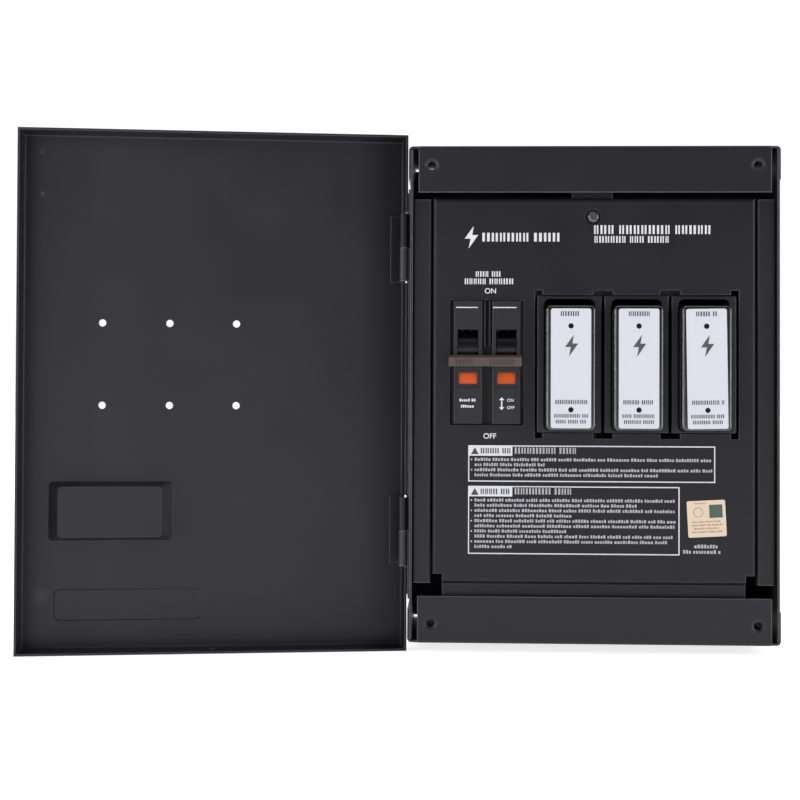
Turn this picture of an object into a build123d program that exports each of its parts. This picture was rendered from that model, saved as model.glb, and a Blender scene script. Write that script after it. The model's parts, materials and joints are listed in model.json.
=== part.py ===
"""Whole house surge protector: a wall enclosure with a side-hung door, a
two-pole module power switch and three plug-in surge modules.

Millimetres, +Z up.  The origin is the centre of the enclosure's back face,
which lies on the wall at y = 0, so the front of the object faces -Y.
The door is written standing open, as it does while the modules are changed.
"""
import math
import os

from build123d import *

# ---- enclosure -----------------------------------------------------------
sheet = 1.5                  # steel sheet of every formed part
body_half_width = 126.5      # outer face of the side walls
body_half_height = 168.4     # ends of the wrapped body, inside the end caps
box_depth = 102.0            # wall to front plane
cap_half_width = 128.0
box_half_height = 171.5
band_height = 32.4           # front flange of each end cap
band_half_width = 121.0
tab_height = 23.0            # cap flanges outside the side walls
bend = 2.6                   # outside bend radius of the caps and pans
corner_hole_x = 112.0
corner_hole_z = 157.7
corner_hole_r = 3.0
wall_hole_x = 95.0
wall_hole_z = 128.0
wall_hole_r = 3.2
knockout_radii = (11.1, 14.2, 11.1)
knockout_pitch = 72.0
knockout_y = -52.0

# ---- rails and deadfront -------------------------------------------------
rail_inner = 112.0
rail_front = 98.0
rail_back = 60.0
rail_top = 134.5
rail_bottom = -130.5
pan_half_width = 111.0
pan_front = 99.0
pan_top = 135.5
pan_bottom = -124.0
pan_flange = 14.0
tongue_half_width = 104.0
tongue_bottom = -146.0
screw_x = -0.6
screw_z = 122.3
bracket_y = 93.0

# ---- two-pole module power switch ----------------------------------------
switch_x = -73.5
pole_pitch = 26.4
pole_width = 24.8
nose_width = 19.8
nose_bottom = -20.6
nose_top = 64.4
nose_front = 102.5
shoulder_front = 92.0
case_bottom = -42.0
case_top = 68.0
case_back = 38.0
case_wall = 2.0
pivot_y = -91.0
pivot_z = 31.7
barrel_radius = 10.8
slot_width = 14.2
slot_bottom = 19.0
slot_top = 44.4
off_angle = 28.8             # the handle hangs this far below level
tie_inner = 16.5             # tie bar, radii from the handle's axis
tie_outer = 20.5
tie_height = 7.3
tie_length = 50.0
tie_offset = -1.5            # the tie bar hangs over a little to the left
switch_gap = 2.3             # deadfront opening beyond the noses, each side
window_width = 12.5
window_bottom = 6.8
window_top = 14.7
window_shelf = 0.7           # flag hidden above and below its window
flag_swing = 19.0
flag_pivot_y = -70.0
flag_pivot_z = 5.75
flag_radius = 30.8           # front of the curved flag, from its shaft
flag_thickness = 1.2
flag_shaft_r = 2.0
arm_pivot_y = -68.0
arm_pivot_z = 24.0
arm_length = 34.0
arm_closed_angle = 49.8
arm_opening = 18.0
arm_shaft_r = 2.6
rivet_r = 1.5
rivet_places = ((-86.0, 62.0), (-86.0, -18.0), (-46.0, -20.0))
lug_z = -34.0
lug_wire_y = -71.0

# ---- surge modules -------------------------------------------------------
bay_pitch = 46.1
first_bay_x = -16.75
bay_width = 44.4
bay_clearance = 1.6          # gap between the outer bays and the deadfront
bay_bottom = -26.6
bay_top = 68.2
bay_front = 98.6
bay_floor = 26.0             # front face of the base's rear plate
module_width = 34.4
module_bottom = -25.0
module_top = 61.0
module_front = 111.0
module_back = 42.0
module_corner = 3.8
module_wall = 2.0
module_gap = 0.4
module_edge = 2.4            # rounding of the module's front edges
socket_top = 65.8            # the opening leaves room for a fingertip above the module
led_radius = 1.55
led_heights = (46.7, -10.4)
blade_heights = (50.0, 29.0, 8.0, -13.0)
blade_thickness = 1.0
blade_back = 28.0
bar_front = 23.8             # bus bars lie between the bases and the chassis
bar_back = 22.3

# ---- chassis -------------------------------------------------------------
chassis_front = 21.5
chassis_back = 20.0
standoff_x = 94.0
standoff_z = 106.0
terminal_xs = (-34.0, -20.0, -6.0, 8.0)
terminal_top = -44.0
riser_xs = (-35.0, -30.0, -25.0, 8.0)
jog_heights = (-36.0, -40.0, -34.0, -36.0)
wire_hole_r = 2.3
wire_r = 2.25
bar_low = -159.0
bar_high = -149.0
ground_bar_left = -91.0
ground_bar_back = 1.5
neutral_bar_left = 20.0
neutral_bar_back = 12.0
bar_depth = 12.0

# ---- door and hinges -----------------------------------------------------
door_hinge_edge = -133.9     # outer faces of the two upright rims, door closed
door_free_edge = 132.0
door_top = 179.6
door_bottom = -177.8
door_front = 116.0
door_rim_back = 95.0
door_open_angle = 172.5
hinge_x = -131.2
hinge_y = -96.0
pin_radius = 1.5
knuckle_radius = 3.0
running_gap = 0.06
hinge_spans = ((78.0, 101.0, 125.0), (-119.0, -95.0, -72.0))
hinge_leaf_half = 142.0      # the leaf on the side wall runs past both knuckles
hinge_leaf_depth = 22.0
leaf_lip = 1.6               # lip turned out behind the open door's rim
sight_hole_r = 2.5
sight_shift_x = 1.2          # the holes sit a little up and out from the lamps
sight_shift_z = 1.4
seal_hole_r = 2.4
seal_hole_y = -104.0
pull_centre_x = 70.0
pull_centre_z = -82.0
pull_width = 85.0
pull_height = 41.0
pull_depth = 8.0
plaque_centre_x = 58.0
plaque_centre_z = -146.5
plaque_width = 101.0
plaque_height = 22.0


def block(x0, x1, y0, y1, z0, z1):
    """Box between two corners."""
    size = Box(abs(x1 - x0), abs(y1 - y0), abs(z1 - z0))
    return Pos((x0 + x1) / 2, (y0 + y1) / 2, (z0 + z1) / 2) * size


def rod_x(radius, y, z, x0, x1):
    return Pos((x0 + x1) / 2, y, z) * Rot(0, 90, 0) * Cylinder(radius, x1 - x0)


def rod_y(radius, x, z, y0, y1):
    return Pos(x, (y0 + y1) / 2, z) * Rot(90, 0, 0) * Cylinder(radius, y1 - y0)


def rod_z(radius, x, y, z0, z1):
    return Pos(x, y, (z0 + z1) / 2) * Cylinder(radius, z1 - z0)


def edges_at(solid, along, **near):
    """Edges parallel to an axis whose centre is at the given x, y or z."""
    found = solid.edges().filter_by(along)
    for axis, value in near.items():
        found = found.filter_by(
            lambda e, a=axis.upper(), v=value: abs(getattr(e.center(), a) - v) < 0.01
        )
    return found


def save(name, *solids):
    """Write one node: one solid, or a group of separate solids."""
    node = solids[0] if len(solids) == 1 else Compound(children=list(solids))
    export_step(node, f"parts/{name}.step")


def both_sides(solid):
    return solid, mirror(solid, about=Plane.YZ)


# ---- formed sheet enclosure ----------------------------------------------
def enclosure_body():
    """Back and side walls, wrapped from one sheet."""
    w, h, d = body_half_width, body_half_height, box_depth
    outer = block(-w, w, -d, 0, -h, h)
    outer = fillet(edges_at(outer, Axis.Z, y=0), bend)
    inner = block(-w + sheet, w - sheet, -d - 1, -sheet, -h - 1, h + 1)
    inner = fillet(edges_at(inner, Axis.Z, y=-sheet), bend - sheet)
    body = outer - inner
    for x in (-wall_hole_x, wall_hole_x):
        for z in (-wall_hole_z, wall_hole_z):
            body -= rod_y(wall_hole_r, x, z, -sheet - 1, 1)
    return body


def top_end_cap():
    """End plate with a front band, two side tabs and two extruded holes."""
    top = box_half_height
    low = top - band_height
    band = block(-band_half_width, band_half_width, -box_depth, 0, low, top)
    band = fillet(edges_at(band, Axis.X, y=-box_depth, z=top), bend)
    far = band_half_width + 1
    hollow = block(-far, far, -box_depth + sheet, 1, low - 1, top - sheet)
    hollow = fillet(edges_at(hollow, Axis.X, y=-box_depth + sheet, z=top - sheet), bend - sheet)
    band -= hollow
    w = cap_half_width
    tabs = block(-w, w, -box_depth + 3.5, 0, top - tab_height, top)
    tabs = fillet(edges_at(tabs, Axis.Y, z=top), bend + 0.4)
    hollow = block(-w + sheet, w - sheet, -box_depth, 1, top - tab_height - 1, top - sheet)
    hollow = fillet(edges_at(hollow, Axis.Y, z=top - sheet), bend + 0.4 - sheet)
    tabs -= hollow
    cap = band + tabs
    for x in (-corner_hole_x, corner_hole_x):
        collar_back = -box_depth + sheet + 2.5
        cap += rod_y(corner_hole_r + 1.5, x, corner_hole_z, -box_depth + 0.5, collar_back)
        cap -= rod_y(corner_hole_r, x, corner_hole_z, -box_depth - 1, collar_back + 1)
        sink = Pos(x, -box_depth + 0.5, corner_hole_z) * Rot(90, 0, 0)
        cap -= sink * Cone(corner_hole_r, corner_hole_r + 1.7, 1.0)
    return cap


def bottom_end_cap():
    """The top cap turned over, with a row of conduit knockouts."""
    cap = mirror(top_end_cap(), about=Plane.XY)
    for i, radius in enumerate(knockout_radii):
        x = (i - 1) * knockout_pitch
        cap -= rod_z(radius, x, knockout_y, -box_half_height - 1, -box_half_height + sheet + 1)
    return cap


def conduit_knockouts():
    """Slugs that stay in the end cap until a conduit is fitted."""
    slugs = []
    for i, radius in enumerate(knockout_radii):
        x = (i - 1) * knockout_pitch
        low, high = -box_half_height, -box_half_height + sheet
        slug = rod_z(radius - 0.35, x, knockout_y, low, high)
        for side in (-1, 1):
            tie = block(x - 1.2, x + 1.2, 0, side * radius, low, high)
            slug += Pos(0, knockout_y, 0) * tie & rod_z(radius, x, knockout_y, low, high)
        slugs.append(slug)
    return slugs


def right_rail():
    """Folded rail inside a side wall, which flanks the deadfront."""
    outer_x = body_half_width - sheet
    rail = block(rail_inner, outer_x, -rail_front, -rail_back, rail_bottom, rail_top)
    rail = fillet(edges_at(rail, Axis.Z, y=-rail_front), 2.0)
    hollow = block(
        rail_inner + sheet, outer_x - sheet, -rail_front + sheet, -rail_back + 1,
        rail_bottom - 1, rail_top + 1,
    )
    hollow = fillet(edges_at(hollow, Axis.Z, y=-rail_front + sheet), 0.5)
    rail -= hollow
    lip_back = -rail_front + 10
    return rail - block(rail_inner - 1, rail_inner + 3, lip_back, 0, rail_bottom - 1, rail_top + 1)


# ---- deadfront -----------------------------------------------------------
def bay_centres():
    return [first_bay_x + i * bay_pitch for i in range(3)]


def deadfront():
    """Inner cover: a shallow pan with the switch and module openings."""
    w, front = pan_half_width, -pan_front
    back = front + pan_flange
    pan = block(-w, w, front, back, pan_bottom, pan_top)
    pan = fillet(edges_at(pan, Axis.Z, y=front) + edges_at(pan, Axis.X, y=front, z=pan_top), bend)
    pan -= block(-w + sheet, w - sheet, front + sheet, back + 1, pan_bottom - 1, pan_top - sheet)
    pan -= block(-w - 1, w + 1, front + 4, back + 1, pan_top - sheet - 0.01, pan_top + 1)
    face_low = pan_bottom - 4.5
    step = front + 2.2
    outline = Polyline(
        (front, pan_bottom), (front, face_low), (step, face_low - 2.6), (step, tongue_bottom),
        (step + sheet, tongue_bottom), (step + sheet, face_low - 2.0),
        (front + sheet, face_low + 0.6), (front + sheet, pan_bottom), close=True,
    )
    tongue = extrude(Plane.YZ * make_face(outline), tongue_half_width, both=True)
    pan += tongue
    pan -= switch_opening(front)
    pan -= modules_opening(front)
    dimple = Pos(screw_x, front + 0.6, screw_z) * Rot(90, 0, 0)
    backing = Pos(screw_x, front + sheet + 0.4, screw_z) * Rot(90, 0, 0)
    pan += backing * Cone(4.6, 6.4, 1.2)
    pan -= dimple * Cone(4.2, 5.6, 1.2001)
    return pan - rod_y(2.7, screw_x, screw_z, front - 1, front + 4)


def switch_opening(front):
    """Opening with a small gap round the noses of the power switch."""
    left = pole_x(-1) - nose_width / 2 - switch_gap
    right = pole_x(1) + nose_width / 2 + switch_gap
    low, high = nose_bottom - 1.0, nose_top + 0.5
    return block(left, right, front - 1, front + 3, low, high)


def modules_opening(front):
    """One opening for three bays, relieved at each post."""
    centres = bay_centres()
    left = centres[0] - bay_width / 2 - bay_clearance
    right = centres[-1] + bay_width / 2 + bay_clearance
    cut = block(left, right, front - 1, front + 3, bay_bottom - 0.4, bay_top + 0.6)
    posts = [(left, left + 5.5), (right - 5.5, right)]
    for a, b in zip(centres, centres[1:]):
        posts.append(((a + b) / 2 - 6.8, (a + b) / 2 + 6.8))
    for x0, x1 in posts:
        cut += block(x0, x1, front - 1, front + 3, bay_bottom - 3.9, bay_top + 3.6)
    return cut


def deadfront_bracket():
    """Tapped strap that hangs from the top end plate behind the deadfront."""
    y = -bracket_y
    plate_low = box_half_height - sheet
    strap = block(screw_x - 14, screw_x + 14, y, y + 26, 112, plate_low)
    strap = fillet(edges_at(strap, Axis.X, y=y, z=plate_low), bend)
    strap -= block(screw_x - 15, screw_x + 15, y + sheet, y + 27, 111, plate_low - sheet)
    strap += rod_y(4.4, screw_x, screw_z, y + 1, y + 4.5)
    return strap - rod_y(2.45, screw_x, screw_z, y - 1, y + 6)


def deadfront_screw():
    """Slotted pan-head captive screw."""
    face = -pan_front
    head = rod_y(3.7, screw_x, screw_z, face - 1.9, face + 1.2)
    head = fillet(head.edges().group_by(Axis.Y)[0], 1.3)
    head -= Pos(screw_x, face - 1.9, screw_z) * Rot(0, 38, 0) * Box(8, 1.8, 1.1)
    return head + rod_y(2.4, screw_x, screw_z, face + 1.2, -bracket_y + 7)


# ---- door ----------------------------------------------------------------
def opened(solid):
    """Swing a piece drawn on the closed door out to the standing-open pose."""
    return solid.rotate(Axis((hinge_x, hinge_y, 0), (0, 0, 1)), -door_open_angle)


def tapered_boss(width, height, depth, run, corner):
    """Low pyramid with a flat top, on the XZ plane, rising along +Y."""
    base = Rot(-90, 0, 0) * RectangleRounded(width, height, corner)
    top = Pos(0, depth, 0) * Rot(-90, 0, 0)
    top *= RectangleRounded(width - 2 * run[0], height - 2 * run[1], corner)
    return loft(Sketch() + [base, top])


def door_blank():
    """Folded pan with four rims, notched round the hinge knuckles."""
    left, right = door_hinge_edge, door_free_edge
    front, back = -door_front, -door_rim_back
    inside = front + sheet
    pan = block(left, right, front, back, door_bottom, door_top)
    pan = fillet(edges_at(pan, Axis.Z, y=front) + edges_at(pan, Axis.X, y=front), bend + 0.4)
    hollow = block(
        left + sheet, right - sheet, inside, back + 1, door_bottom + sheet, door_top - sheet
    )
    hollow = fillet(edges_at(hollow, Axis.Z, y=inside) + edges_at(hollow, Axis.X, y=inside), 1.4)
    pan -= hollow
    for low, _, high in hinge_spans:
        notch = block(left - 1, left + sheet + 0.01, front + 4.0, back + 1, low - 1.2, high + 1.6)
        pan -= notch
    return pan


def door_panel():
    """Door with its sight holes, finger pull, plaque recess and seal hole."""
    front, inside = -door_front, -door_front + sheet
    pan = door_blank()
    for x in bay_centres():
        for z in led_heights:
            place = (x + sight_shift_x, z + sight_shift_z)
            pan -= rod_y(sight_hole_r, *place, front - 1, inside + 1)
    pull_run = (7.5, 3.2)
    pull = Pos(pull_centre_x, 0, pull_centre_z)
    pan += pull * Pos(0, inside, 0) * tapered_boss(
        pull_width, pull_height, pull_depth, pull_run, 3
    )
    pan -= pull * Pos(0, front - 0.01, 0) * tapered_boss(
        pull_width - 2 * sheet, pull_height - 2 * sheet, pull_depth, pull_run, 2
    )
    plaque_run = (0.9, 0.9)
    plaque = Pos(plaque_centre_x, 0, plaque_centre_z)
    pan += plaque * Pos(0, inside, 0) * tapered_boss(
        plaque_width, plaque_height, 1.0, plaque_run, 4
    )
    pan -= plaque * Pos(0, front - 0.01, 0) * tapered_boss(
        plaque_width - 1, plaque_height - 1, 1.0, plaque_run, 4
    )
    return pan - rod_z(seal_hole_r, 0, seal_hole_y, door_bottom - 1, door_bottom + sheet + 1)


def hinge_wall_leaf():
    """Long leaf on the outside of the side wall, with the knuckles that hold the pins."""
    x = -body_half_width
    back = hinge_y + hinge_leaf_depth
    leaf = block(x - sheet, x, hinge_y - 0.2, back, -hinge_leaf_half, hinge_leaf_half)
    leaf += block(x - sheet - leaf_lip, x, back - sheet, back, -hinge_leaf_half, hinge_leaf_half)
    for low, split, high in hinge_spans:
        leaf -= block(x - sheet - 1, x + 1, hinge_y - 1, hinge_y + 3.6, split, high + 1)
        leaf += rod_z(knuckle_radius, hinge_x, hinge_y, low, split)
        leaf += block(hinge_x, x, hinge_y + 1.5, hinge_y + 3.0, low, split)
        leaf -= rod_z(pin_radius, hinge_x, hinge_y, low - 1, high + 1)
    return leaf


def hinge_door_leaf(low, split, high):
    """Leaf inside the door's rim, with the knuckle that lifts off the pin."""
    inner = door_hinge_edge + sheet
    face = -door_front + sheet
    leaf = block(inner, inner + sheet, face, hinge_y - 3.2, low, high)
    leaf += block(inner, inner + sheet, hinge_y - 3.3, hinge_y, split + 0.3, high)
    leaf += block(inner, inner + 9, face, face + sheet, low, high)
    leaf = chamfer(edges_at(leaf, Axis.Z, x=inner, y=face), sheet - 0.02)
    leaf += rod_z(knuckle_radius, hinge_x, hinge_y, split + 0.3, high)
    return leaf - rod_z(pin_radius + running_gap, hinge_x, hinge_y, low - 1, high + 1)


def hinge_pin(low, high):
    pin = rod_z(pin_radius, hinge_x, hinge_y, low, high)
    return chamfer(pin.edges().group_by(Axis.Z)[-1], 0.5)


# ---- module power switch -------------------------------------------------
def pole_x(side):
    return switch_x + side * pole_pitch / 2


def breaker_case(side):
    """One pole's moulded case: body, nose, handle slot and flag window."""
    x0, x1 = sorted((switch_x, switch_x + side * pole_width))
    cx = pole_x(side)
    half = nose_width / 2
    case = block(x0, x1, -shoulder_front, -case_back, case_bottom, case_top)
    nose = block(cx - half, cx + half, -nose_front, -shoulder_front, nose_bottom, nose_top)
    nose = fillet(edges_at(nose, Axis.Z, y=-nose_front) + edges_at(nose, Axis.X, y=-nose_front), 0.8)
    case += nose
    rib_x = switch_x + side * 1.7
    case += block(rib_x - 0.6, rib_x + 0.6, -nose_front + 1.2, -shoulder_front, 33, nose_top - 0.4)
    wall = case_wall
    case -= block(
        x0 + wall, x1 - wall, -shoulder_front + wall, -case_back - wall, -24, case_top - wall
    )
    slot = slot_width / 2
    case -= block(cx - slot, cx + slot, -nose_front - 1, -85, slot_bottom, slot_top)
    recess = window_width / 2 + 2.4
    case -= block(cx - recess, cx + recess, -nose_front - 1, -nose_front + 0.8, 4.2, 17.4)
    half_window = window_width / 2
    case -= block(
        cx - half_window, cx + half_window, -nose_front - 1, -95, window_bottom, window_top
    )
    case -= block(cx - 7.4, cx + 7.4, -nose_front + 1.6, -85, -5.6, 17)
    case -= lug_pocket(cx)
    case -= block(cx - 3.7, cx + 3.7, -case_back - wall - 1, 0, 46.8, 55.2)
    middle = (switch_x - 3, switch_x + 3)
    case -= rod_x(arm_shaft_r + 0.05, arm_pivot_y, arm_pivot_z, *middle)
    case -= rod_x(flag_shaft_r + 0.05, flag_pivot_y, flag_pivot_z, *middle)
    for y, z in rivet_places:
        case -= rod_x(rivet_r, y, z, x0 - 1, x1 + 1)
    return case


def lug_pocket(cx):
    """Room for the load lug, open below for the wire and ahead for its screw."""
    room = block(cx - 7, cx + 7, -84, -62, case_bottom - 1, -27)
    return room + rod_y(4.2, cx, lug_z, -shoulder_front - 1, -83)


def load_lug(side):
    """Box lug gripping the load wire."""
    cx = pole_x(side)
    lug = block(cx - 7, cx + 7, -84, -62, case_bottom + 1, -27)
    lug -= rod_z(wire_hole_r, cx, lug_wire_y, case_bottom, -30)
    return lug - rod_y(2.6, cx, lug_z, -85, lug_wire_y)


def lug_screw(side):
    cx = pole_x(side)
    head = rod_y(3.6, cx, lug_z, -88, -84)
    head -= Pos(cx, -88, lug_z) * Rot(0, 20, 0) * Box(8, 2, 1.2)
    return head + rod_y(2.55, cx, lug_z, -84, lug_wire_y - wire_hole_r - 0.2)


def line_contact(side):
    """Fixed contact on its strap, which passes through the case to the stab."""
    cx = pole_x(side)
    strap = block(cx - 4, cx + 4, -42.4, -40.0, 40, 62)
    strap += block(cx - 3.5, cx + 3.5, -40.0, -case_back, 47, 55)
    return strap + rod_y(3, cx, 49, -44.4, -42.0)


def arc_chute(side):
    """Stack of splitter plates above the contacts."""
    cx = pole_x(side)
    frame = block(cx - 8, cx + 8, -62, -60.8, 52, 65)
    for i in range(5):
        z = 53 + i * 2.6
        plate = block(cx - 8, cx + 8, -61, -45.5, z, z + 1.0)
        frame += plate - block(cx - 3.5, cx + 3.5, -62, -45, z - 1, z + 2) - block(
            cx - 1, cx + 1, -50, -45, z - 1, z + 2
        )
        frame += block(cx - 8, cx + 8, -61.5, -59, z, z + 1.0)
    return frame


def contact_arm(side):
    """Moving contact arm, drawn open."""
    cx = pole_x(side)
    arm = Box(4, arm_length, 3)
    arm = Pos(0, arm_length / 2, 0) * arm
    arm += Rot(0, 90, 0) * Cylinder(3.2, 4)
    arm = Rot(arm_closed_angle + arm_opening, 0, 0) * arm
    return Pos(cx, arm_pivot_y, arm_pivot_z) * arm


def arm_shaft():
    """Insulating cross shaft that carries both arms."""
    ends = (pole_x(-1) + 2.0, pole_x(1) - 2.0)
    return rod_x(arm_shaft_r, arm_pivot_y, arm_pivot_z, *ends)


def breaker_handle(side):
    """Barrel behind the slot, with the lever that reaches the tie bar."""
    cx = pole_x(side)
    half = slot_width / 2 - 0.4
    barrel = rod_x(barrel_radius, 0, 0, -half, half)
    barrel -= rod_x(1.6, 0, 0, -half - 1, half + 1)
    ledge = Rot(-58, 0, 0) * block(-half, half, -barrel_radius - 0.5, -6, -1.3, 1.3)
    lever = block(-4.5, 4.5, -tie_inner, -8, -2.4, 2.4)
    handle = barrel + lever + ledge
    return Pos(cx, pivot_y, pivot_z) * Rot(off_angle, 0, 0) * handle


def handle_pin(side):
    cx = pole_x(side)
    half = slot_width / 2
    return rod_x(1.55, pivot_y, pivot_z, cx - half, cx + half)


def handle_tie_bar():
    """Bar across both levers, so that the poles switch together."""
    half = tie_length / 2
    bar = block(-half, half, -tie_outer, -tie_inner, -tie_height / 2, tie_height / 2)
    bar = fillet(bar.edges().filter_by(Axis.X), 0.7)
    return Pos(switch_x + tie_offset, pivot_y, pivot_z) * Rot(off_angle, 0, 0) * bar


def position_flags():
    """Curved orange flags on one shaft, seen in the windows while off."""
    ring = rod_x(flag_radius, 0, 0, -6.8, 6.8)
    ring -= rod_x(flag_radius - flag_thickness, 0, 0, -7, 7)
    half_height = (window_top - window_bottom) / 2 + window_shelf
    plate = ring & block(-7, 7, -flag_radius - 1, 0, -half_height, half_height)
    arm = block(-1.5, 1.5, -flag_radius + 0.6, 0, -1.25, 1.25)
    counterweight = block(-5, 5, 6, 16, -3.6, 3.6)
    lever = plate + arm + counterweight + block(-1.5, 1.5, 0, 7, -1.25, 1.25)
    lever += rod_x(flag_shaft_r + 1.2, 0, 0, -2, 2)
    turn = Pos(0, flag_pivot_y, flag_pivot_z) * Rot(-flag_swing / 2, 0, 0)
    flags = rod_x(flag_shaft_r, flag_pivot_y, flag_pivot_z, pole_x(-1), pole_x(1))
    for side in (-1, 1):
        flags += Pos(pole_x(side), 0, 0) * turn * lever
    return flags


def breaker_foot():
    """Moulded foot that carries the switch on the chassis."""
    x0 = switch_x - pole_width
    x1 = switch_x + pole_width
    foot = block(x0 + 2, x1 - 2, -case_back, -chassis_front, -38, 64)
    foot -= block(x0 + 6, x1 - 6, -case_back + 3, -chassis_front + 1, -34, 26)
    for side in (-1, 1):
        cx = pole_x(side)
        foot -= block(cx - 4.6, cx + 4.6, -case_back - 1, -24.5, 44, 58)
    return foot


def line_stab(side):
    """Copper stab that feeds one pole."""
    cx = pole_x(side)
    return block(cx - 4.5, cx + 4.5, -case_back, -24.5, 45, 57)


def rivet(y, z):
    return rod_x(rivet_r, y, z, switch_x - pole_width, switch_x + pole_width)


# ---- surge modules -------------------------------------------------------
def rounded_prism(cx, width, z0, z1, y0, y1, corner):
    """Upright rounded rectangle, extruded along Y."""
    body = block(cx - width / 2, cx + width / 2, y0, y1, z0, z1)
    return fillet(body.edges().filter_by(Axis.Y), corner)


def module_base(cx):
    """Fixed socket: a bezel and walls round the module, and a rear plate."""
    half = bay_width / 2
    base = block(cx - half, cx + half, -bay_front, -bar_back, bay_bottom, bay_top)
    base = fillet(base.edges().filter_by(Axis.Y), 1.0)
    base = fillet(base.edges().group_by(Axis.Y)[0], 0.8)
    base -= rounded_prism(
        cx, module_width + 2 * module_gap, module_bottom - module_gap, socket_top,
        -bay_front - 1, -bay_floor, module_corner + module_gap,
    )
    for z in blade_heights:
        base -= block(cx - half - 1, cx + half + 1, -bar_front - 0.2, 0, z - 6.3, z + 6.3)
        base -= block(cx - 4, cx + 4, -bay_floor - 1, -bar_front, z - 4.6, z + 4.6)
    relief_top = blade_heights[0] + 6
    return base - block(cx - half - 1, cx - 4.2, -bar_front - 0.2, 0, bay_bottom - 1, relief_top)


def socket_jaws(cx, z):
    """Spring jaw on a bus bar, gripping one module blade."""
    foot = block(cx - 3.8, cx + 3.8, -bay_floor - 1.0, -bar_front, z - 4.5, z + 4.5)
    jaws = foot
    for side in (-1, 1):
        inner = cx + side * (blade_thickness / 2 + 0.06)
        outer = inner + side * 1.0
        leaf = block(min(inner, outer), max(inner, outer), -41.0, -bay_floor, z - 4, z + 4)
        jaws += leaf
    return jaws


def module_housing(cx):
    """Gloss cover of one plug-in module, with two lamp holes in its face."""
    body = rounded_prism(
        cx, module_width, module_bottom, module_top, -module_front, -module_back, module_corner
    )
    body = fillet(body.edges().group_by(Axis.Y)[0], module_edge)
    wall = module_wall
    body -= rounded_prism(
        cx, module_width - 2 * wall, module_bottom + wall, module_top - wall,
        -module_front + wall, -module_back - wall, module_corner - wall,
    )
    for z in led_heights:
        body -= rod_y(led_radius + 0.05, cx, z, -module_front - 1, -module_front + wall + 1)
    half = blade_thickness / 2
    for z in blade_heights:
        slit = block(cx - half, cx + half, -module_back - wall - 1, -module_back + 1, z - 3.5, z + 3.5)
        body -= slit
    return body


def module_board(cx):
    """Circuit board standing lengthwise in the module."""
    return block(cx + 6, cx + 7.6, -module_front + 5, -module_back - 5, -20, 58)


def module_varistors(cx):
    """Six disc varistors standing against the board."""
    discs = []
    for y in (-93, -66):
        for z in (-5, 19, 43):
            disc = rod_x(10, y, z, cx + 0.5, cx + 6)
            discs.append(fillet(disc.edges().group_by(Axis.X)[0], 1.2))
    return discs


def module_leds(cx):
    """Two status lamps, each with its flange and two leads to the board."""
    lamps = []
    front = -module_front
    lead_front, lead_back = front + 6.2, front + 6.8
    for z in led_heights:
        lamp = rod_y(led_radius, cx, z, front, front + module_wall + 0.5)
        lamp += rod_y(2.1, cx, z, front + module_wall, front + 4.5)
        for lead_z in (z - 1.1, z + 1.1):
            lamp += block(cx, cx + 6, lead_front, lead_back, lead_z - 0.3, lead_z + 0.3)
            lamp += block(cx - 0.3, cx + 0.3, front + 4.4, lead_back, lead_z - 0.3, lead_z + 0.3)
        lamps.append(lamp)
    return lamps


def module_blades(cx):
    """Four plug blades through the back of the module."""
    blades = []
    for z in blade_heights:
        half = blade_thickness / 2
        blade = block(cx - half, cx + half, -module_back - 7, -blade_back, z - 3.5, z + 3.5)
        blade += block(cx - half, cx + 6, -module_back - 7, -module_back - 6, z - 3.5, z + 3.5)
        blades.append(blade)
    return blades


# ---- chassis, bars and wiring --------------------------------------------
def chassis_plate():
    plate = block(-103, 103, -chassis_front, -chassis_back, -114, 114)
    plate = fillet(plate.edges().filter_by(Axis.Y), 4)
    for x in (-standoff_x, standoff_x):
        for z in (-standoff_z, standoff_z):
            plate -= rod_y(2.2, x, z, -chassis_front - 1, 0)
    return plate


def chassis_standoff(x, z):
    return rod_y(4.5, x, z, -chassis_back, -sheet) - rod_y(1.9, x, z, -chassis_back - 1, -8)


def chassis_screw(x, z):
    head = rod_y(3.6, x, z, -chassis_front - 2.4, -chassis_front)
    head = fillet(head.edges().group_by(Axis.Y)[0], 1.0)
    head -= Pos(x, -chassis_front - 2.4, z) * Box(8, 1.6, 1.0)
    return head + rod_y(1.8, x, z, -chassis_front, -10)


def bar_screw_xs(left):
    return [left + 8 + 11 * i for i in range(6)]


def terminal_bar(left, back):
    """Drilled bar with six wire holes, each under its own clamping screw."""
    front = back + bar_depth
    bar = block(left, left + 71, -front, -back, bar_low, bar_high)
    for x in bar_screw_xs(left):
        bar -= rod_z(wire_hole_r, x, -back - 4, bar_low - 1, bar_high + 1)
        bar -= rod_y(2.0, x, (bar_low + bar_high) / 2, -front - 1, -back - 4)
    return bar


def bar_screws(left, back):
    front = back + bar_depth
    z = (bar_low + bar_high) / 2
    screws = []
    for i, x in enumerate(bar_screw_xs(left)):
        head = rod_y(3.2, x, z, -front - 2.6, -front)
        head -= Pos(x, -front - 2.6, z) * Rot(0, 37 * i, 0) * Box(7, 1.8, 1.0)
        screws.append(head + rod_y(1.95, x, z, -front, -back - 6.6))
    return screws


def neutral_insulators():
    """Two moulded feet that hold the neutral bar off the back wall."""
    feet = []
    for x in (neutral_bar_left + 1, neutral_bar_left + 60):
        feet.append(block(x, x + 10, -neutral_bar_back, -sheet, bar_low - 1, bar_high + 1))
    return feet


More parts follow.
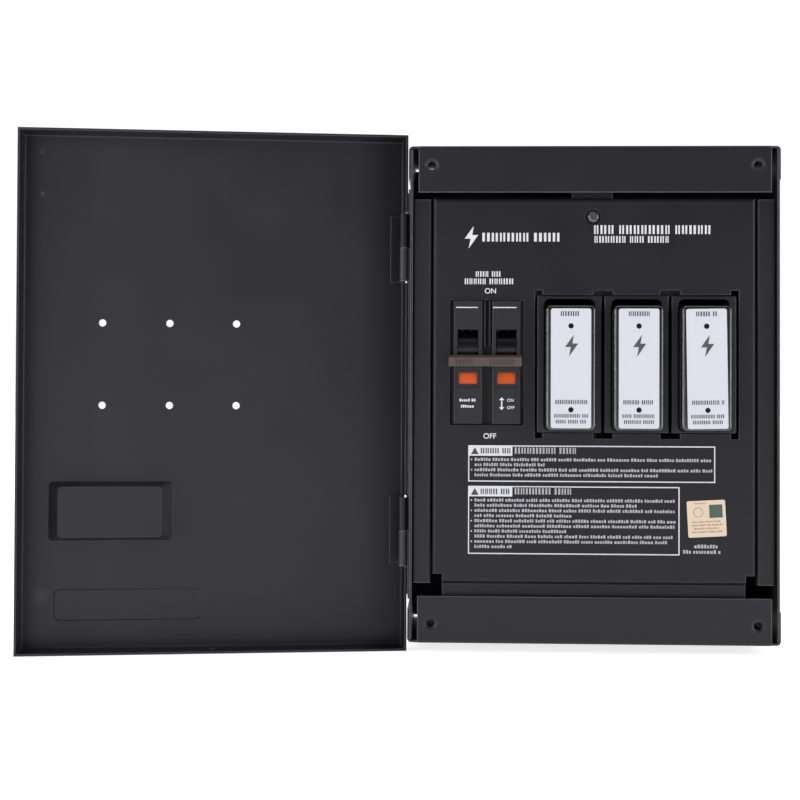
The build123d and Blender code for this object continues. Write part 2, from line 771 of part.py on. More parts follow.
def terminal_block():
    """Four-pole block that feeds the bus bars."""
    x0, x1 = terminal_xs[0] - 7, terminal_xs[-1] + 7
    body = block(x0, x1, -44, -bar_back, terminal_top - 22, terminal_top)
    body = fillet(body.edges().group_by(Axis.Y)[0], 0.8)
    for x in terminal_xs:
        body -= block(x - 5, x + 5, -40, -bar_back + 1, terminal_top - 23, terminal_top - 6)
        body -= block(x - 2.4, x + 2.4, -bar_front - 0.2, 0, terminal_top - 7, terminal_top + 1)
        body -= rod_y(3.0, x, terminal_top - 14, -45, -35)
    return body


def terminal_clamp(x):
    low, high = terminal_top - 20, terminal_top - 6
    clamp = block(x - 4.8, x + 4.8, -39.8, -bar_front, low, high)
    clamp -= rod_z(wire_hole_r, x, -33, low - 1, high - 1)
    return clamp - rod_y(2.0, x, terminal_top - 14, -41, -33)


def terminal_screw(x):
    z = terminal_top - 14
    head = rod_y(2.8, x, z, -43.2, -39.8)
    head -= Pos(x, -43.2, z) * Box(7, 1.8, 0.9)
    return head + rod_y(1.95, x, z, -39.8, -33 - wire_hole_r - 0.2)


def bus_bar(index):
    """Strip under one row of sockets, with its drop to the terminal block."""
    z = blade_heights[index]
    riser, jog, drop = riser_xs[index], jog_heights[index], terminal_xs[index]
    start = min(riser - 2, bay_centres()[0] - 6)
    bar = block(start, bay_centres()[-1] + 8, -bar_front, -bar_back, z - 6, z + 6)
    bar += block(riser - 1.8, riser + 1.8, -bar_front, -bar_back, jog - 1.8, z)
    left, right = sorted((riser, drop))
    bar += block(left - 1.8, right + 1.8, -bar_front, -bar_back, jog - 1.8, jog + 1.8)
    return bar + block(drop - 1.8, drop + 1.8, -bar_front, -bar_back, terminal_top - 16, jog)


def bus_insulator():
    return block(-42, 99, -bar_back, -chassis_front, terminal_top - 22, bay_top)


def wire(points):
    """Straight runs joined by tangent arcs, each as large as its runs allow."""
    vectors = [Vector(*p) for p in points]
    radii = []
    for a, b, c in zip(vectors, vectors[1:], vectors[2:]):
        turn = math.radians((b - a).get_angle(c - b))
        shorter = min((b - a).length, (c - b).length)
        radii.append(0.45 * shorter / math.tan(turn / 2))
    path = FilletPolyline(*vectors, radius=radii)
    start = Plane(origin=path @ 0, z_dir=path % 0)
    return sweep(start * Circle(wire_r), path=path)


def hot_wire(side):
    """Load wire from one pole of the switch to its terminal."""
    cx = pole_x(side)
    end = terminal_xs[0] if side < 0 else terminal_xs[1]
    dip = -102 if side < 0 else -84
    return wire([
        (cx, lug_wire_y, -31),
        (cx, lug_wire_y, -68),
        (cx + 16, -62, dip + 6),
        (end - 22, -46, dip - 4),
        (end, -33, dip + 4),
        (end, -33, terminal_top - 8),
    ])


def neutral_wire():
    x0, x1 = terminal_xs[3], bar_screw_xs(neutral_bar_left)[0]
    y1 = -neutral_bar_back - 4
    return wire([
        (x0, -33, terminal_top - 8),
        (x0, -33, -84),
        (x0 + 8, -32, -108),
        (x1, y1, -126),
        (x1, y1, bar_low + 2),
    ])


def ground_wire():
    x0, x1 = terminal_xs[2], bar_screw_xs(ground_bar_left)[5]
    y1 = -ground_bar_back - 4
    return wire([
        (x0, -33, terminal_top - 8),
        (x0, -33, -84),
        (x0 - 5, -36, -108),
        (x1 + 2, -22, -124),
        (x1, y1, -138),
        (x1, y1, bar_low + 2),
    ])


# ---- write the nodes -----------------------------------------------------
os.makedirs("parts", exist_ok=True)
poles = (-1, 1)
corners = [(x, z) for x in (-standoff_x, standoff_x) for z in (-standoff_z, standoff_z)]

save("enclosure_body", enclosure_body())
save("top_end_cap", top_end_cap())
save("bottom_end_cap", bottom_end_cap())
save("conduit_knockouts", *conduit_knockouts())
for rail_name, rail in zip(("right_rail", "left_rail"), both_sides(right_rail())):
    save(rail_name, rail)
save("deadfront", deadfront())
save("deadfront_bracket", deadfront_bracket())
save("deadfront_screw", deadfront_screw())

save("hinge_wall_leaf", hinge_wall_leaf())
save("hinge_pins", *[hinge_pin(low, high - 1) for low, _, high in hinge_spans])
save("hinge_door_leaves", *[opened(hinge_door_leaf(*span)) for span in hinge_spans])
save("door_panel", opened(door_panel()))

save("chassis_plate", chassis_plate())
save("chassis_standoffs", *[chassis_standoff(x, z) for x, z in corners])
save("chassis_screws", *[chassis_screw(x, z) for x, z in corners])
save("ground_bar", terminal_bar(ground_bar_left, ground_bar_back))
save("neutral_bar", terminal_bar(neutral_bar_left, neutral_bar_back))
save("neutral_bar_insulators", *neutral_insulators())

save("breaker_foot", breaker_foot())
save("line_stabs", *[line_stab(side) for side in poles])
for pole, side in zip(("left", "right"), poles):
    save(f"breaker_case_{pole}", breaker_case(side))
save("breaker_rivets", *[rivet(y, z) for y, z in rivet_places])
save("breaker_handles", *[breaker_handle(side) for side in poles])
save("handle_pins", *[handle_pin(side) for side in poles])
save("handle_tie_bar", handle_tie_bar())
save("position_flags", position_flags())
save("line_contacts", *[line_contact(side) for side in poles])
save("arc_chutes", *[arc_chute(side) for side in poles])
save("contact_arms", *[contact_arm(side) for side in poles])
save("contact_shaft", arm_shaft())
save("load_lugs", *[load_lug(side) for side in poles])

save("bus_insulator", bus_insulator())
save("bus_bars", *[bus_bar(i) for i in range(4)])
save("bus_sockets", *[socket_jaws(cx, z) for cx in bay_centres() for z in blade_heights])
save("terminal_block", terminal_block())
save("terminal_clamps", *[terminal_clamp(x) for x in terminal_xs])
save(
    "clamp_screws",
    *bar_screws(ground_bar_left, ground_bar_back),
    *bar_screws(neutral_bar_left, neutral_bar_back),
    *[terminal_screw(x) for x in terminal_xs],
    *[lug_screw(side) for side in poles],
)
save("hot_wires", *[hot_wire(side) for side in poles])
save("neutral_wire", neutral_wire())
save("ground_wire", ground_wire())

for number, cx in enumerate(bay_centres(), start=1):
    save(f"module_{number}_base", module_base(cx))
    save(f"module_{number}_housing", module_housing(cx))
    save(f"module_{number}_board", module_board(cx))
    save(f"module_{number}_varistors", *module_varistors(cx))
    save(f"module_{number}_leds", *module_leds(cx))
    save(f"module_{number}_blades", *module_blades(cx))
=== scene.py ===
"""Looks of a wall enclosure with a switch, three surge modules and an open door.

Metres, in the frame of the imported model: the front of the box faces -Y and the
door stands open on the left.  Printed matter is generic: plain blocks stand for
lines of small print, and only ON and OFF are lettered.
"""
import json
import math
import random

import bpy
from mathutils import Euler, Matrix, Vector


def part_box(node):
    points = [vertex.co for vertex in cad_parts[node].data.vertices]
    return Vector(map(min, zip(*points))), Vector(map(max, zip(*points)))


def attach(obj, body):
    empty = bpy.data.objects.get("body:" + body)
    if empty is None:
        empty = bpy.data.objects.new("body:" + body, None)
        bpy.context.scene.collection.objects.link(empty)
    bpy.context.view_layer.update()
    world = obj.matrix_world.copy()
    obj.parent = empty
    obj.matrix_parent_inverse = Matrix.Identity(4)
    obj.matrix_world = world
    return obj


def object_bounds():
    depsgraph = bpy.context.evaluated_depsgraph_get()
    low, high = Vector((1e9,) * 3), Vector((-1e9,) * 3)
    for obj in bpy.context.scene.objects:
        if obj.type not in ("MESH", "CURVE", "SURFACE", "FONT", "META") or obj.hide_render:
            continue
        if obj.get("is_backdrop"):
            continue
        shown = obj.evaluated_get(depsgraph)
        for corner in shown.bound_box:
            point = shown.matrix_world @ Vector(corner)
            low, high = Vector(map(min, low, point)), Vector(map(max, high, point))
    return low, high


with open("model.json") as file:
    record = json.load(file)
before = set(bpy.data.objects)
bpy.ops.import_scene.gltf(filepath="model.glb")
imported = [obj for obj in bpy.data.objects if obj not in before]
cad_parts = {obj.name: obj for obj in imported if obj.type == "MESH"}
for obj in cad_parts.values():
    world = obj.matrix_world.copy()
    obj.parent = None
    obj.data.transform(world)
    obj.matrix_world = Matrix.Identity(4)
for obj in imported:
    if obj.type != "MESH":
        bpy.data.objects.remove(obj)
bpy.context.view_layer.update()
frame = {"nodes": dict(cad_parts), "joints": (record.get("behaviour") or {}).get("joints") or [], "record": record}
MM = 0.001
UPRIGHT = Euler((math.pi / 2, 0.0, 0.0)).to_matrix().to_4x4()   # a flat drawing stood on the front

# Softened edge radii and print thicknesses, in millimetres.
PAINT_EDGE = 0.9
METAL_EDGE = 0.15
GLOSS_EDGE = 0.5
INK = 0.08
THIN_INK = 0.04
STICKER_INK = 0.05
TIE_BAR_INK = 0.06
FILM = 0.12

# Printing on the deadfront, in millimetres on the front view.
NOTICE_LEFT = -86.2
NOTICE_LINE = 0.75
NOTICE_HEADING_END = -55.8
NOTICE_HEADING_HEIGHT = 7.2
NOTICE_PITCH = 3.55
LABEL_MIDDLE = 17.8
LABEL_WIDTH = 27.4
LABEL_HEIGHT = 81.6
LAMP_INSET = 2.1             # from the ends of the lamps' box to a lamp's centre
LAMP_HOLE = 1.85
STICKER_CENTRE = (77.3, -84.9)
STICKER_TILT = 3.0
TIE_BAR_REACH = 20.5         # from the handle's pivot to the sloping face of the bar
TIE_BAR_SLOPE = 28.8

# Camera fitted to the photo's viewpoint, with angles in radians.
LENS = 63.04
LENS_SHIFT = -0.05
CAMERA_PLACE = (-0.1020, -1.0677, 0.0079)
CAMERA_YAW = -0.0326
CAMERA_PITCH = 0.0158
CAMERA_ROLL = 0.0041


# ---- shader helpers -------------------------------------------------------
class Graph:
    """A new material with its Principled shader and short ways to add nodes."""

    def __init__(self, name):
        self.material = bpy.data.materials.new(name)
        self.material.use_nodes = True
        self.tree = self.material.node_tree
        self.shader = self.tree.nodes["Principled BSDF"]
        self.place = self.add("ShaderNodeTexCoord").outputs["Object"]

    def add(self, kind, **values):
        node = self.tree.nodes.new(kind)
        for key, value in values.items():
            if hasattr(node, key):
                setattr(node, key, value)
            else:
                node.inputs[key.replace("_", " ").title()].default_value = value
        return node

    def link(self, output, target):
        self.tree.links.new(output, target)

    def stretched(self, scale):
        """Object coordinates multiplied along each axis."""
        node = self.add("ShaderNodeVectorMath", operation="MULTIPLY")
        self.link(self.place, node.inputs[0])
        node.inputs[1].default_value = scale
        return node.outputs[0]

    def noise(self, scale, detail=2.0, roughness=0.5, vector=None):
        node = self.add("ShaderNodeTexNoise", scale=scale, detail=detail, roughness=roughness)
        self.link(vector or self.place, node.inputs["Vector"])
        return node.outputs["Fac"]

    def spots(self, scale, vector=None):
        node = self.add("ShaderNodeTexVoronoi", scale=scale)
        self.link(vector or self.place, node.inputs["Vector"])
        return node.outputs["Distance"]

    def near(self, x, z, radius, amount):
        """Falls from amount to nothing at a ragged radius round a point of the front view."""
        flat = self.stretched((1.0, 0.0, 1.0))
        gap = self.add("ShaderNodeVectorMath", operation="DISTANCE")
        self.link(flat, gap.inputs[0])
        gap.inputs[1].default_value = (x * MM, 0.0, z * MM)
        fall = self.ramp(gap.outputs["Value"], 0.2 * radius * MM, radius * MM, amount, 0.0)
        return self.multiply(fall, self.ramp(self.noise(700.0, 3.0, 0.7), 0.40, 0.60))

    def ramp(self, value, low, high, start=0.0, end=1.0):
        """Map a range of a value, clamped, to another range."""
        node = self.add("ShaderNodeMapRange")
        self.link(value, node.inputs["Value"])
        for key, number in zip(("From Min", "From Max", "To Min", "To Max"), (low, high, start, end)):
            node.inputs[key].default_value = number
        return node.outputs["Result"]

    def mix(self, amount, first, second):
        """Blend two colours, each a tuple or an output, by an output."""
        node = self.add("ShaderNodeMix", data_type="RGBA")
        self.link(amount, node.inputs["Factor"])
        for socket, colour in ((node.inputs[6], first), (node.inputs[7], second)):
            if isinstance(colour, tuple):
                socket.default_value = (*colour, 1.0)
            else:
                self.link(colour, socket)
        return node.outputs[2]

    def multiply(self, first, second):
        node = self.add("ShaderNodeMath", operation="MULTIPLY")
        self.link(first, node.inputs[0])
        self.link(second, node.inputs[1])
        return node.outputs[0]

    def bump(self, height, distance, strength=1.0, after=None):
        node = self.add("ShaderNodeBump", strength=strength, distance=distance)
        self.link(height, node.inputs["Height"])
        if after is not None:
            self.link(after, node.inputs["Normal"])
        return node.outputs["Normal"]

    def soft_edges(self, radius):
        """Normals rounded over sharp edges, as paint or moulding leaves them."""
        return self.add("ShaderNodeBevel", samples=6, radius=radius).outputs["Normal"]

    def edge_mask(self, rounded, gain):
        """Amount by which a softened normal leaves the true one: high along edges."""
        true = self.add("ShaderNodeNewGeometry").outputs["Normal"]
        dot = self.add("ShaderNodeVectorMath", operation="DOT_PRODUCT")
        self.link(rounded, dot.inputs[0])
        self.link(true, dot.inputs[1])
        return self.ramp(dot.outputs["Value"], 0.99, 0.80, 0.0, gain)

    def finish(self, colour=None, roughness=None, normal=None, **values):
        for key, output in (("Base Color", colour), ("Roughness", roughness), ("Normal", normal)):
            if output is not None:
                self.link(output, self.shader.inputs[key])
        for key, value in values.items():
            self.shader.inputs[key.replace("_", " ").title()].default_value = value
        return self.material


def scaled(colour, factor):
    return tuple(min(1.0, c * factor) for c in colour)


# ---- materials ------------------------------------------------------------
def powder_coat(name, colour, roughness, peel, peel_depth, dust, edge, scuffs=(), painted_shade_span=None):
    """Sprayed powder on sheet steel: orange peel, slow tone changes, dust, rubbed marks.

    edge is the tone of a painted highlight along edges;
    scuffs are (x, z, radius, amount) in millimetres, where a pale rub shows;
    dim is the span of x over which painted shade deepens the coat, reaching its full depth at the second end.
    """
    g = Graph(name)
    tone = g.mix(g.ramp(g.noise(9.0, 4.0), 0.3, 0.7), scaled(colour, 0.88), scaled(colour, 1.13))
    rubbed = g.multiply(
        g.ramp(g.noise(30.0, 6.0, 0.7, g.stretched((1.0, 1.0, 0.35))), 0.60, 0.72),
        g.ramp(g.noise(420.0, 2.0, 0.6, g.stretched((1.0, 1.0, 0.08))), 0.50, 0.70),
    )
    tone = g.mix(g.ramp(rubbed, 0.0, 1.0, 0.0, 0.16), tone, scaled(colour, 3.2))
    for x, z, radius, amount in scuffs:
        tone = g.mix(g.near(x, z, radius, amount), tone, (0.16, 0.16, 0.17))
    # painted shade: the coat darkens across the given span of x, towards the door's hinge
    if painted_shade_span:
        apart = g.add("ShaderNodeSeparateXYZ")
        g.link(g.place, apart.inputs[0])
        painted_shade = g.ramp(apart.outputs["X"], painted_shade_span[0] * MM, painted_shade_span[1] * MM, 0.0, 0.75)
        tone = g.mix(painted_shade, tone, scaled(colour, 0.15))
    rounded_normal = g.soft_edges(PAINT_EDGE * MM)
    # painted highlight: softened edges are lightened towards the edge tone, standing in for the shine on bends
    tone = g.mix(g.edge_mask(rounded_normal, 0.85), tone, (edge, edge, 1.08 * edge))
    speck = g.ramp(g.spots(260.0), 0.05, 0.025, 0.0, dust)
    tone = g.mix(speck, tone, (0.30, 0.30, 0.31))
    rough = g.ramp(g.noise(14.0, 5.0, 0.6), 0.3, 0.7, roughness - 0.05, roughness + 0.06)
    normal = g.bump(g.noise(peel, 2.0, 0.45), peel_depth * MM, after=rounded_normal)
    g.shader.inputs["Specular IOR Level"].default_value = 0.25
    return g.finish(tone, rough, normal)


def metal(name, colour, roughness, grain=(1.0, 1.0, 14.0), tarnish=0.85):
    """Bare or plated metal with drawn lines and a faint tarnish."""
    g = Graph(name)
    lines = g.noise(600.0, 3.0, 0.6, g.stretched(grain))
    stain = g.ramp(g.noise(60.0, 4.0, 0.6), 0.35, 0.7)
    tone = g.mix(stain, colour, scaled(colour, tarnish))
    rough = g.ramp(lines, 0.25, 0.75, roughness - 0.07, roughness + 0.10)
    normal = g.bump(lines, 0.02 * MM, 0.6, g.soft_edges(METAL_EDGE * MM))
    return g.finish(tone, rough, normal, metallic=1.0)


def spangled(name, colour, roughness):
    """Galvanised sheet, whose zinc grains differ in tone and gloss."""
    g = Graph(name)
    cells = g.add("ShaderNodeTexVoronoi", scale=140.0)
    g.link(g.place, cells.inputs["Vector"])
    grey = g.add("ShaderNodeRGBToBW")
    g.link(cells.outputs["Color"], grey.inputs[0])
    tone = g.mix(grey.outputs[0], scaled(colour, 0.82), scaled(colour, 1.12))
    rough = g.ramp(grey.outputs[0], 0.2, 0.8, roughness - 0.10, roughness + 0.10)
    return g.finish(tone, rough, g.bump(g.noise(300.0), 0.02 * MM), metallic=1.0)


def moulding(name, colour, roughness, grain=1100.0, depth=0.025, edge=0.35):
    """Moulded plastic: fine spark grain, slight flow marks and softened edges."""
    g = Graph(name)
    tone = g.mix(g.ramp(g.noise(22.0, 4.0), 0.3, 0.7), scaled(colour, 0.92), scaled(colour, 1.09))
    flow = g.noise(45.0, 3.0, 0.5, g.stretched((1.0, 1.0, 0.3)))
    rough = g.ramp(flow, 0.3, 0.7, roughness - 0.04, roughness + 0.05)
    normal = g.bump(g.noise(grain, 3.0, 0.6), depth * MM, after=g.soft_edges(edge * MM))
    g.shader.inputs["Specular IOR Level"].default_value = 0.35
    return g.finish(tone, rough, normal)


def handled_gloss(name, colour, roughness):
    """Polished black moulding with faint finger smears and hairline scratches."""
    g = Graph(name)
    smear = g.ramp(g.noise(55.0, 5.0, 0.65), 0.45, 0.75, 0.0, 0.16)
    hair = g.noise(900.0, 2.0, 0.5, g.stretched((1.0, 1.0, 0.04)))
    scratch = g.ramp(hair, 0.66, 0.74, 0.0, 0.10)
    total = g.add("ShaderNodeMath", operation="ADD")
    g.link(smear, total.inputs[0])
    g.link(scratch, total.inputs[1])
    rough = g.ramp(total.outputs[0], 0.0, 1.0, roughness, roughness + 1.0)
    tone = g.mix(g.ramp(g.noise(30.0), 0.3, 0.7), scaled(colour, 0.9), scaled(colour, 1.15))
    normal = g.bump(g.noise(120.0, 1.0), 0.02 * MM, 0.5, g.soft_edges(GLOSS_EDGE * MM))
    return g.finish(tone, rough, normal, coat_weight=0.8, coat_roughness=0.05)


def fibre_sheet(name, colour):
    """Grey-brown insulating board with pressed fibres."""
    g = Graph(name)
    fibres = g.noise(500.0, 5.0, 0.7, g.stretched((0.3, 1.0, 1.0)))
    tone = g.mix(g.ramp(fibres, 0.3, 0.7), scaled(colour, 0.75), scaled(colour, 1.2))
    return g.finish(tone, g.ramp(fibres, 0.3, 0.7, 0.65, 0.85), g.bump(fibres, 0.05 * MM))


def circuit_board(name, colour):
    """Green solder mask with paler tracks under it."""
    g = Graph(name)
    tracks = g.add("ShaderNodeTexBrick", scale=260.0)
    g.link(g.place, tracks.inputs["Vector"])
    mask = g.ramp(g.noise(170.0, 0.0), 0.48, 0.52)
    tone = g.mix(g.multiply(mask, tracks.outputs["Fac"]), colour, scaled(colour, 2.1))
    return g.finish(tone, g.ramp(mask, 0.0, 1.0, 0.28, 0.36), g.bump(mask, 0.03 * MM))


def lens(name, colour):
    """Dark lamp lens with a faceted diffuser behind a polished face."""
    g = Graph(name)
    cells = g.spots(2200.0)
    tone = g.mix(g.ramp(cells, 0.0, 0.6), scaled(colour, 1.8), scaled(colour, 0.5))
    rough = g.ramp(cells, 0.0, 0.6, 0.25, 0.35)
    g.shader.inputs["Specular IOR Level"].default_value = 0.2
    return g.finish(tone, rough, g.bump(cells, 0.02 * MM))


def printed_film(name, colour, roughness=0.42, age=0.06):
    """Ink or label film: a fine screen, faint handling marks and a satin face."""
    g = Graph(name)
    screen = g.noise(2600.0, 1.0, 0.5)
    marks = g.ramp(g.noise(70.0, 5.0, 0.7), 0.5, 0.85, 0.0, age)
    tone = g.mix(marks, colour, scaled(colour, 0.62))
    rough = g.ramp(screen, 0.3, 0.7, roughness - 0.05, roughness + 0.05)
    return g.finish(tone, rough, g.bump(screen, 0.006 * MM))


DOOR_SCUFFS = ((-381.0, 137.0, 2.6, 0.5), (-381.0, 166.0, 2.0, 0.4),
               (-380.0, -140.0, 6.5, 0.25))
# span of x on the door, towards the hinge, where shade is painted into the coat
DOOR_PAINTED_SHADE = (-163.0, -143.0)
# The last plain number of each powder coat is the tone of its painted edge highlight.
SLOT_LOOKS = {
    "enclosure_paint": powder_coat("box_powder", (0.0128, 0.0122, 0.0150), 0.38, 1000.0, 0.012,
                                   0.10, 0.24),
    "door_paint": powder_coat("door_powder", (0.0165, 0.0166, 0.0200), 0.40, 560.0, 0.040, 0.12, 0.10,
                               DOOR_SCUFFS, DOOR_PAINTED_SHADE),
    "deadfront_paint": powder_coat("cover_powder", (0.0096, 0.0090, 0.0116), 0.40, 1400.0, 0.010,
                                   0.05, 0.14),
    "hinge_steel": powder_coat("hinge_powder", (0.030, 0.030, 0.034), 0.24, 900.0, 0.008, 0.15, 0.30),
    "screw_black": metal("black_oxide", (0.16, 0.16, 0.17), 0.34, (6.0, 6.0, 6.0)),
    "zinc_steel": metal("zinc_plate", (0.62, 0.62, 0.60), 0.32),
    "galvanised": spangled("zinc_spangle", (0.55, 0.56, 0.57), 0.42),
    "copper": metal("drawn_copper", (0.72, 0.38, 0.24), 0.30, tarnish=0.6),
    "tinned_brass": metal("bright_brass", (0.72, 0.60, 0.38), 0.28, tarnish=0.75),
    "bar_aluminium": metal("extruded_bar", (0.76, 0.76, 0.77), 0.36, (14.0, 1.0, 1.0)),
    "switch_case": moulding("thermoset_case", (0.0112, 0.0110, 0.0134), 0.42, 900.0, 0.02),
    "switch_handle": moulding("switch_lever", (0.0022, 0.0022, 0.0028), 0.34, depth=0.01),
    "tie_bar": moulding("brown_grey_bar", (0.064, 0.041, 0.035), 0.45, 800.0, 0.02),
    "flag_orange": moulding("orange_flag", (0.54, 0.086, 0.017), 0.38, 900.0, 0.01),
    "socket_plastic": moulding("socket_shell", (0.0110, 0.0110, 0.0125), 0.30, 1000.0, 0.010, 0.6),
    "module_plastic": handled_gloss("module_shell", (0.0042, 0.0042, 0.0050), 0.12),
    "insulator": moulding("cream_insulator", (0.74, 0.71, 0.62), 0.45),
    "fishpaper": fibre_sheet("fibre_board", (0.30, 0.24, 0.18)),
    "board_green": circuit_board("green_board", (0.012, 0.10, 0.035)),
    "varistor_blue": moulding("blue_epoxy", (0.015, 0.07, 0.30), 0.30, 350.0, 0.06, 0.3),
    "led_lens": lens("dark_lens", (0.0030, 0.0060, 0.0035)),
    "wire_black": moulding("black_jacket", (0.012, 0.012, 0.012), 0.38, 700.0, 0.02),
    "wire_white": moulding("white_jacket", (0.68, 0.68, 0.66), 0.40, 700.0, 0.02),
    "wire_green": moulding("green_jacket", (0.015, 0.20, 0.05), 0.40, 700.0, 0.02),
}
for part in frame["record"]["subparts"]:
    node = frame["nodes"][part["node"]]
    node.data.materials.clear()
    node.data.materials.append(SLOT_LOOKS[part["material_slot"]])

WHITE_INK = printed_film("white_ink", (0.60, 0.60, 0.62))
DARK_INK = printed_film("dark_ink", (0.035, 0.035, 0.040))
GREY_INK = printed_film("grey_ink", (0.060, 0.060, 0.065))
BROWN_INK = printed_film("brown_ink", (0.009, 0.006, 0.005))
PALE_INK = printed_film("pale_ink", (0.34, 0.34, 0.36))
TAN_INK = printed_film("tan_ink", (0.36, 0.20, 0.10))
GREEN_INK = printed_film("green_ink", (0.045, 0.085, 0.060))
LABEL_FILM = printed_film("label_film", (0.55, 0.56, 0.59), 0.36, 0.05)
STICKER_FILM = printed_film("sticker_film", (0.62, 0.50, 0.37), 0.34, 0.12)


# ---- flat printed shapes --------------------------------------------------
# A shape is a list of outlines on the front view: (x, z) points in millimetres.
def rectangle(x0, x1, z0, z1):
    return [(x0, z0), (x1, z0), (x1, z1), (x0, z1)]


def rounded(cx, cz, width, height, corner, steps=6):
    points = []
    for quarter, (sx, sz) in enumerate(((1, 1), (-1, 1), (-1, -1), (1, -1))):
        x, z = cx + sx * (width / 2 - corner), cz + sz * (height / 2 - corner)
        for i in range(steps + 1):
            a = math.radians(90 * (quarter + i / steps))
            points.append((x + corner * math.cos(a), z + corner * math.sin(a)))
    return points


def disc(cx, cz, radius, sides=32):
    turns = [2 * math.pi * i / sides for i in range(sides)]
    return [(cx + radius * math.cos(a), cz + radius * math.sin(a)) for a in turns]


def frame_outline(x0, x1, z0, z1, line):
    """A thin rectangular ring, as an outer and an inner outline."""
    return [rectangle(x0, x1, z0, z1), rectangle(x0 + line, x1 - line, z0 + line, z1 - line)]


def bolt(cx, cz, height):
    """A plain lightning bolt."""
    corners = ((0.10, 0.50), (-0.30, -0.06), (-0.04, -0.06), (-0.12, -0.50), (0.30, 0.10), (0.04, 0.10))
    return [(cx + x * height, cz + z * height) for x, z in corners]


def double_arrow(cx, cz, height):
    """A thin vertical arrow with a head at each end."""
    half, head, stem = height / 2, 0.22 * height, 0.05 * height
    side = [(0, half), (head, half - head), (stem, half - head)]
    right = side + [(x, -z) for x, z in reversed(side)]
    left = [(-x, z) for x, z in reversed(right)][1:-1]
    return [(cx + x, cz + z) for x, z in right + left]


def small_print(rng, x, z, width, height, weight=0.5, capitals=False):
    """Blocks grouped like the words of one line; capitals are even and split in two strokes."""
    blocks = []
    end, letters = x + width, rng.randint(3, 8)
    while x < end - 0.5 * height:
        wide = height * rng.uniform(0.75, 1.25) * weight
        tall = height * rng.choice((1.0, 0.78, 0.78, 1.0))
        right = min(x + wide, end)
        if capitals:
            stroke = 0.36 * (right - x)
            blocks.append(rectangle(x, x + stroke, z, z + height))
            blocks.append(rectangle(right - stroke, right, z, z + height))
        else:
            blocks.append(rectangle(x, right, z, z + tall))
        x += wide + 0.24 * height
        letters -= 1
        if letters == 0:
            x += 0.42 * height
            letters = rng.randint(3, 9)
    return blocks


def flat_piece(name, outlines, material, slot, body, surface, thickness=INK, place=None):
    """Closed thin piece standing proud of a surface that faces the front.

    surface is the depth of that face in millimetres (a y value); place, when
    given, is a matrix used instead of that upright position.
    """
    curve = bpy.data.curves.new(name, "CURVE")
    curve.dimensions = "2D"
    curve.fill_mode = "BOTH"
    curve.extrude = thickness * MM / 2
    for outline in outlines:
        spline = curve.splines.new("POLY")
        spline.points.add(len(outline) - 1)
        for point, (x, z) in zip(spline.points, outline):
            point.co = (x * MM, z * MM, 0.0, 1.0)
        spline.use_cyclic_u = True
    source = bpy.data.objects.new(name + "_outline", curve)
    bpy.context.scene.collection.objects.link(source)
    bpy.context.view_layer.update()
    mesh = bpy.data.meshes.new_from_object(source.evaluated_get(bpy.context.evaluated_depsgraph_get()))
    bpy.data.objects.remove(source)
    bpy.data.curves.remove(curve)
    if place is None:
        place = Matrix.Translation((0.0, surface * MM, 0.0)) @ UPRIGHT
    mesh.transform(place @ Matrix.Translation((0.0, 0.0, thickness * MM / 2)))
    return add_piece(name, mesh, material, body)


def add_piece(name, mesh, material, body):
    mesh.name = name
    mesh.materials.clear()
    mesh.materials.append(material)
    piece = bpy.data.objects.new(name, mesh)
    bpy.context.scene.collection.objects.link(piece)
    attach(piece, body)
    return piece


def word(name, text, cx, cz, height, surface, body, material, thickness=INK):
    """Plain lettering, used only for ON and OFF."""
    font = bpy.data.curves.new(name, "FONT")
    font.body = text
    font.size = height * MM / 0.7
    font.extrude = thickness * MM / 2
    font.offset = 0.018 * height * MM
    font.align_x, font.align_y = "CENTER", "CENTER"
    source = bpy.data.objects.new(name + "_font", font)
    bpy.context.scene.collection.objects.link(source)
    bpy.context.view_layer.update()
    mesh = bpy.data.meshes.new_from_object(source.evaluated_get(bpy.context.evaluated_depsgraph_get()))
    bpy.data.objects.remove(source)
    mesh.transform(Matrix.Translation((cx * MM, surface * MM - thickness * MM / 2, cz * MM)) @ UPRIGHT)
    return add_piece(name, mesh, material, body)


def front_of(node):
    """Depth of a node's foremost face, in millimetres."""
    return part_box(node)[0].y / MM


# ---- printing on the inner cover -----------------------------------------
def print_cover():
    face = front_of("deadfront")
    rng = random.Random(11)
    ink = (WHITE_INK, "wire_white", "root", face)
    flat_piece("cover_mark", [bolt(-84.5, 108.3, 15.5)], *ink)
    flat_piece("cover_wordmark", small_print(rng, -77.0, 105.4, 55.5, 6.0, 0.72, True), *ink)
    title = small_print(rng, 0.0, 110.6, 80.5, 6.1, 0.62, True)
    title += small_print(rng, 0.3, 104.6, 53.0, 4.6, 0.60, True)
    flat_piece("cover_title", title, *ink)
    caption = small_print(rng, -81.4, 81.0, 19.0, 3.8, 0.62, True)
    caption += small_print(rng, -89.0, 75.8, 35.4, 4.0, 0.62, True)
    flat_piece("switch_caption", caption, *ink)
    word("switch_on_legend", "ON", -71.2, 71.0, 3.6, face, "root", WHITE_INK)
    word("switch_off_legend", "OFF", -71.4, -29.2, 3.6, face, "root", WHITE_INK)
    rating = small_print(rng, 68.8, -105.2, 17.8, 2.5, 0.6)
    rating += small_print(rng, 61.2, -108.9, 25.4, 2.5, 0.6)
    flat_piece("rating_lines", rating, PALE_INK, "wire_white", "root", face)


